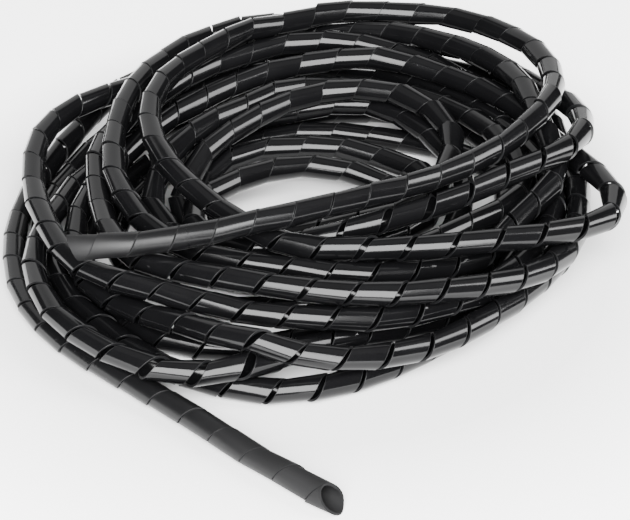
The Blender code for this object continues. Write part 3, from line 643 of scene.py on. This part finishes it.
def strip_tree(group):
    """Wind the strip round the middle line."""
    tree = Tree(group)
    given = tree.node("NodeGroupInput")
    line = tree.node("GeometryNodeMeshToCurve", None, {"Mesh": given})
    half = given.out("Strip width") * 0.5
    long = tree.node("GeometryNodeCurveLength", None, {"Curve": line})
    rings = ((long + half * 2.0) / given.out("Ring step")).math("FLOOR")
    tube = tree.node("GeometryNodeMeshCylinder", {"fill_type": "NGON"},
                     {"Vertices": SECTION_CORNERS, "Side Segments": rings, "Radius": 1.0, "Depth": 1.0})
    index = tree.node("GeometryNodeInputIndex")
    ring = ((index + 0.5) / SECTION_CORNERS).math("FLOOR")
    corner = index - ring * SECTION_CORNERS

    place = ring * given.out("Ring step") - half
    held = place.math("MAXIMUM", 0.0).math("MINIMUM", long)
    beyond = place - held
    turning, pitch, bend = line_fields(tree, given, line)
    found = sampled(tree, line, turning, held, "FLOAT")
    pitch_here = sampled(tree, line, pitch, held, "FLOAT").out("Value")
    bend_here = sampled(tree, line, bend, held, "FLOAT_VECTOR").out("Value")
    end_turn = math.tau / given.out("Strip width")
    angle = found.out("Value") + beyond * end_turn + given.out("First angle")

    # angles count from straight up, over the back of a turn that runs to the right
    tangent = found.out("Tangent")
    side = tree.vector("NORMALIZE", tree.vector("CROSS_PRODUCT", tangent, (0.0, 0.0, 1.0)))
    upward = tree.vector("CROSS_PRODUCT", side, tangent)
    ray_up = tree.scaled(upward, angle.math("COSINE"))
    ray = tree.vector("ADD", ray_up, tree.scaled(side, -angle.math("SINE")))
    rise = tree.vector("DOT_PRODUCT", ray, (0.0, 0.0, 1.0), out="Value")

    round_step = given.out("Edge round")
    across = pick(corner, CORNER_ACROSS) * half + pick(corner, CORNER_INSET) * round_step * EDGE_SPREAD
    inset = pick(corner, tuple(float(depth == 1.0) for depth in CORNER_DEPTH)) * round_step
    inset = inset + pick(corner, tuple(float(depth == 2.0) for depth in CORNER_DEPTH)) * given.out("Wall")

    # cut both ends on a slant, and let them open a little
    first_cut = rise * given.out("Start slant") - held
    last_cut = long - rise * given.out("End slant") - held
    along = (across + beyond).math("MAXIMUM", first_cut).math("MINIMUM", last_cut)
    from_end = (held + along).math("MINIMUM", long - held - along).math("MAXIMUM", 0.0)
    flare = (from_end * -FLARE_DECAY).math("EXPONENT") * given.out("End flare")

    straight, swell = swaying(tree, given, angle, tangent)
    inner = tree.vector("DOT_PRODUCT", ray, bend_here, out="Value")
    tuck = tucking(given, inner, pitch_here, across / half)
    out_from_middle = given.out("Outside") * 0.5 + flare + swell - inset - tuck

    spot = tree.vector("ADD", found.out("Position"), tree.scaled(straight, along))
    spot = tree.vector("ADD", spot, tree.scaled(ray, out_from_middle))
    spot = tree.vector("MAXIMUM", spot, FLOOR_LEVEL)
    wound = tree.node("GeometryNodeSetPosition", None, {"Geometry": tube, "Position": spot})

    # the finish reads where on the strip a point is
    for name, value in (("along", held + along), ("turning", angle), ("across", across)):
        wound = tree.node("GeometryNodeStoreNamedAttribute", {"data_type": "FLOAT", "domain": "POINT"},
                          {"Geometry": wound, "Name": name, "Value": value})
    whole = tree.node("GeometryNodeRealizeInstances", None, {"Geometry": wound})
    dressed = {"Geometry": whole, "Material": given.out("Finish")}
    finished = tree.node("GeometryNodeSetMaterial", None, dressed)
    tree.node("NodeGroupOutput", None, {"Strip": finished})
    return group


helical_strip = strip_tree(strip_group())
print("strip tree:", len(helical_strip.nodes), "nodes")


# %% [markdown]
# ## Black polyethylene
# The wrap is extruded, so fine lines run along it, and a strip this dark shows its shape only by
# its gloss. So the finish is a nearly black base with a roughness that drifts a little, faint lines
# and a slight waviness in the bump, and a few dust specks. The patterns read the strip's own
# attributes, so they follow it round every bend, as a pattern on object coordinates wouldn't. Both
# ends are duller, as if handled.

# %% Helpers for materials
def new_material(name):
    """Material with an empty tree, a Principled shader and its output."""
    material = bpy.data.materials.new(name)
    material.use_nodes = True
    material.node_tree.nodes.clear()
    tree = Tree(material.node_tree)
    shader = tree.node("ShaderNodeBsdfPrincipled")
    tree.node("ShaderNodeOutputMaterial", None, {"Surface": shader})
    return material, tree, shader


def attribute(tree, name):
    """A number that the strip carries on its points."""
    settings = {"attribute_type": "GEOMETRY", "attribute_name": name}
    return tree.node("ShaderNodeAttribute", settings).out("Fac")


def noise(tree, vector, scale, detail, roughness=0.5):
    """Noise between 0 and 1."""
    sockets = {"Vector": vector, "Scale": scale, "Detail": detail, "Roughness": roughness}
    return tree.node("ShaderNodeTexNoise", None, sockets)


def colour_mix(tree, factor, first, second):
    """Mix of two colours."""
    sockets = {"Factor": factor, "A": first, "B": second}
    return tree.node("ShaderNodeMix", {"data_type": "RGBA"}, sockets).out("Result")


# %% Patterns on the strip, with scales in features per metre
LINE_STRETCH = 0.03  # distances along the tube count this little, so the lines are drawn out
SPECK_SCALE = 260.0
SPECK_SPREAD = 0.16  # dust is rare: only cells with a size above three quarters show a speck
SPECK_LIMIT = 0.12
EDGE_FROM = 0.965  # share of half the width where the edge begins


def strip_patterns(tree):
    """Patterns that follow the strip, from 0 to 1, by name."""
    along = attribute(tree, "along")
    angle = attribute(tree, "turning")
    across = attribute(tree, "across")
    round_x = angle.math("COSINE") * RADIUS
    round_y = angle.math("SINE") * RADIUS
    surface = tree.node("ShaderNodeCombineXYZ", None, {"X": round_x, "Y": round_y, "Z": along})
    stretched = {"X": round_x, "Y": round_y, "Z": along * LINE_STRETCH}
    drawn = tree.node("ShaderNodeCombineXYZ", None, stretched)
    cells = {"Vector": surface, "Scale": SPECK_SCALE, "Randomness": 1.0}
    specks = tree.node("ShaderNodeTexVoronoi", {"feature": "F1"}, cells)
    size = tree.node("ShaderNodeSeparateColor", None, {"Color": specks.out("Color")})
    speck_reach = size * SPECK_SPREAD - SPECK_LIMIT - specks.out("Distance")
    edge_reach = across.math("ABSOLUTE") * (2.0 / STRIP_WIDTH) - EDGE_FROM
    return {
        "lines": noise(tree, drawn, 1400.0, 3.0, 0.6),
        "ripple": noise(tree, drawn, 260.0, 2.0),
        "waves": noise(tree, surface, 70.0, 2.0),
        "grain": noise(tree, surface, 2600.0, 2.0),
        "cloud": noise(tree, surface, 45.0, 3.0),
        "speck": speck_reach.math("GREATER_THAN", 0.0),
        "edge": edge_reach.math("GREATER_THAN", 0.0),
        "upper_end": (along * -28.0).math("EXPONENT"),
        "front_end": ((along - length) * 10.0).math("EXPONENT"),
    }


def weighed(patterns, shares, start=0.0):
    """Sum of patterns, each times its share."""
    total = start
    for name, share in shares.items():
        total = patterns[name] * share + total
    return total


# %% Finish of the wrap
BLACK = (0.0018, 0.0018, 0.002, 1.0)
WORN_BLACK = (0.006, 0.006, 0.0065, 1.0)
DUST = (0.25, 0.25, 0.26, 1.0)
DUST_SHARE = 0.7
PLASTIC_IOR = 1.36
SMOOTHEST = 0.07
WEAR_SHARES = {"cloud": 0.6, "edge": 0.4}
ROUGH_SHARES = {"cloud": 0.06, "grain": 0.03, "lines": 0.05, "edge": 0.28, "speck": 0.3,
                "upper_end": 0.6, "front_end": 0.6}
HEIGHT_SHARES = {"lines": 0.35, "ripple": 0.5, "waves": 1.6, "grain": 0.12, "speck": 0.5}
BUMP = {"Strength": 0.35, "Distance": 0.08 * MM}


def strip_finish():
    """Semi-gloss black polyethylene with fine lines along the tube."""
    material, tree, shader = new_material("black_polyethylene")
    patterns = strip_patterns(tree)
    worn = colour_mix(tree, weighed(patterns, WEAR_SHARES), BLACK, WORN_BLACK)
    dusty = colour_mix(tree, patterns["speck"] * DUST_SHARE, worn, DUST)
    bump = tree.node("ShaderNodeBump", None, {**BUMP, "Height": weighed(patterns, HEIGHT_SHARES)})
    inputs = shader.node.inputs
    tree.feed(inputs["Base Color"], dusty)
    tree.feed(inputs["Roughness"], weighed(patterns, ROUGH_SHARES, SMOOTHEST))
    tree.feed(inputs["Normal"], bump)
    inputs["IOR"].default_value = PLASTIC_IOR
    return material


black_polyethylene = strip_finish()
print("finish nodes:", len(black_polyethylene.node_tree.nodes))

# %% [markdown]
# ## Wind the strip
# The inputs of a Geometry Nodes modifier are set by the identifier of their socket. Then the
# evaluated object is turned into a plain mesh, so that the result no longer needs the modifier.

# %% Set the inputs and take the result
RINGS_PER_TURN = 22
RING_STEP = STRIP_WIDTH / RINGS_PER_TURN
FIRST_ANGLE = 4.7  # radians, where the slit meets the two ends
LAST_ANGLE = 4.65
END_FLARE = 0.3 * MM
START_SLANT = -2.8 * MM
END_SLANT = 5.0 * MM
SWAY = 0.27
SWELL = 0.4 * MM
TUCK = 0.4 * MM
SHARP_BEND = math.radians(28.0)
PLASTIC_DENSITY = 930.0


def wound_strip(source):
    """Plain mesh of the strip that the tree winds round the wire."""
    modifier = source.modifiers.new("helical_strip", "NODES")
    modifier.node_group = helical_strip
    values = {"Outside": OUTSIDE, "Wall": WALL, "Strip width": STRIP_WIDTH, "Edge round": EDGE_ROUND,
              "Line step": WIRE_STEP, "Ring step": RING_STEP, "First angle": FIRST_ANGLE,
              "Last angle": LAST_ANGLE, "End flare": END_FLARE, "Start slant": START_SLANT,
              "End slant": END_SLANT, "Sway": SWAY, "Swell": SWELL, "Tuck": TUCK,
              "Finish": black_polyethylene}
    for item in helical_strip.interface.items_tree:
        if item.in_out == "INPUT" and item.name in values:
            modifier[item.identifier] = values[item.name]
    source.update_tag()
    bpy.context.view_layer.update()
    evaluated = source.evaluated_get(bpy.context.evaluated_depsgraph_get())
    mesh = bpy.data.meshes.new_from_object(evaluated)
    source.modifiers.clear()
    return mesh


def signed_volume(mesh):
    """Volume of a closed mesh, negative when its faces point inwards."""
    mesh.calc_loop_triangles()
    spots = np.empty(len(mesh.vertices) * 3, np.float32)
    mesh.vertices.foreach_get("co", spots)
    corners = np.empty(len(mesh.loop_triangles) * 3, np.int32)
    mesh.loop_triangles.foreach_get("vertices", corners)
    a, b, c = (spots.reshape(-1, 3)[corners.reshape(-1, 3)[:, side]].astype(float) for side in range(3))
    return float(np.einsum("ij,ij->i", a, np.cross(b, c)).sum() / 6.0)


mesh = wound_strip(wire)
volume = signed_volume(mesh)
if volume < 0:
    mesh.flip_normals()
mesh.polygons.foreach_set("use_smooth", [True] * len(mesh.polygons))
mesh.set_sharp_from_angle(angle=SHARP_BEND)
wrap = wire
wrap.data = mesh
wrap.name = "spiral_wrap_strip"
print("wound strip:", len(mesh.vertices), "points,", len(mesh.loop_triangles), "triangles, mass",
      round(abs(volume) * PLASTIC_DENSITY, 3), "kg")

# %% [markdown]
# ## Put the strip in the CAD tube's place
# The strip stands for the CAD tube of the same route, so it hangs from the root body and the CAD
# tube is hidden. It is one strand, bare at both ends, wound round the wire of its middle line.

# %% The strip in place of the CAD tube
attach(wrap, "root")
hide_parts("spiral_wrap")
print("cord:", round(length, 2), "m, from", [round(float(v), 3) for v in route[0]])

# %% [markdown]
# ## Floor
# The photograph has a plain white floor that fades to nothing. A curved backdrop would hide the
# floor's end, but a large plane with a faint, soft texture does, because the long lens never sees
# that end. Its glow is painted light, and it stops under the coil, which paints shade in the gaps.

# %% Floor
FLOOR_SIZE = 12.0
FLOOR_WHITE = (0.93, 0.93, 0.93, 1.0)
FLOOR_SHADE = (0.9, 0.9, 0.9, 1.0)
FLOOR_DRIFT = 0.3
FLOOR_FINISH = {"Roughness": 0.6, "Specular IOR Level": 0.2, "Emission Strength": 2.2}
DARK = (0.0, 0.0, 0.0, 1.0)
BRIGHT = (1.0, 1.0, 1.0, 1.0)
GLOW_FROM = 0.15
GLOW_RISE = 0.09


def floor_plane():
    """Large matt floor just under the wrap, with a painted glow and painted shade under the coil."""
    half = FLOOR_SIZE / 2
    plane = bpy.data.meshes.new("floor")
    corners = [(-half, -half, 0.0), (half, -half, 0.0), (half, half, 0.0), (-half, half, 0.0)]
    plane.from_pydata(corners, [], [(0, 1, 2, 3)])
    material, tree, shader = new_material("pale_floor")
    place = tree.node("ShaderNodeTexCoord").out("Object")
    drift = noise(tree, place, 3.0, 2.0) * FLOOR_DRIFT
    from_middle = tree.vector("LENGTH", place, out="Value")
    # painted light: the floor glows from GLOW_FROM outwards, and the dark middle paints shade under the
    # coil
    painted_glow_mask = ((from_middle - GLOW_FROM) / GLOW_RISE).math("MAXIMUM", 0.0).math("MINIMUM", 1.0)
    inputs = shader.node.inputs
    tree.feed(inputs["Base Color"], colour_mix(tree, drift, FLOOR_WHITE, FLOOR_SHADE))
    tree.feed(inputs["Emission Color"], colour_mix(tree, painted_glow_mask, DARK, BRIGHT))
    for name, value in FLOOR_FINISH.items():
        inputs[name].default_value = value
    plane.materials.append(material)
    made = bpy.data.objects.new("floor", plane)
    bpy.context.collection.objects.link(made)
    return made


floor = floor_plane()
print("floor:", FLOOR_SIZE, "m square, glowing from", GLOW_FROM, "m off the middle")

# %% [markdown]
# ## Light
# Glossy black shows the lights more than its own colour, so a few large boxes do better than many
# lamps. One behind the camera gives the bright strips on the turns that face it, and one at the
# right does so on the strands that run towards the back. A dim one overhead gives the grey tops,
# and a low one behind the coil gives the satin sides at the left. The room itself is dark, so the
# rest stays black.

# %% A box light at a direction from the coil
def soft_box(name, toward, distance, width, height, power):
    """Rectangular light that looks back at the coil from a direction."""
    data = bpy.data.lights.new(name, "AREA")
    data.shape = "RECTANGLE"
    data.size = width
    data.size_y = height
    data.energy = power
    made = bpy.data.objects.new(name, data)
    direction = Vector(toward).normalized()
    made.location = direction * distance
    made.rotation_euler = (-direction).to_track_quat("-Z", "Y").to_euler()
    bpy.context.collection.objects.link(made)
    return made


def elevated(azimuth, elevation):
    """Direction from the coil, with azimuth 0 towards the camera."""
    a, e = math.radians(azimuth), math.radians(elevation)
    return (math.sin(a) * math.cos(e), -math.cos(a) * math.cos(e), math.sin(e))


# %% Lights, as (name, azimuth, elevation, distance, width, height, power)
SOFT_BOXES = [
    ("front_box", -3.0, 36.0, 1.8, 1.5, 1.7, 205.0),
    ("right_box", 84.0, 36.0, 1.8, 0.7, 1.2, 45.0),
    ("overhead_box", 180.0, 80.0, 2.2, 3.0, 1.8, 8.0),
    ("back_box", -165.0, 25.0, 1.8, 3.0, 1.4, 18.0),
]
for name, azimuth, elevation, distance, width, height, power in SOFT_BOXES:
    soft_box(name, elevated(azimuth, elevation), distance, width, height, power)
print("lights:", len(SOFT_BOXES))

# %% The dark room
ROOM_LIGHT = 0.05
world = bpy.data.worlds.new("studio")
world.use_nodes = True
world.node_tree.nodes.clear()
room = Tree(world.node_tree)
background = room.node("ShaderNodeBackground", None, {"Color": BRIGHT, "Strength": ROOM_LIGHT})
room.node("ShaderNodeOutputWorld", None, {"Surface": background})
bpy.context.scene.world = world
print("room light:", ROOM_LIGHT)
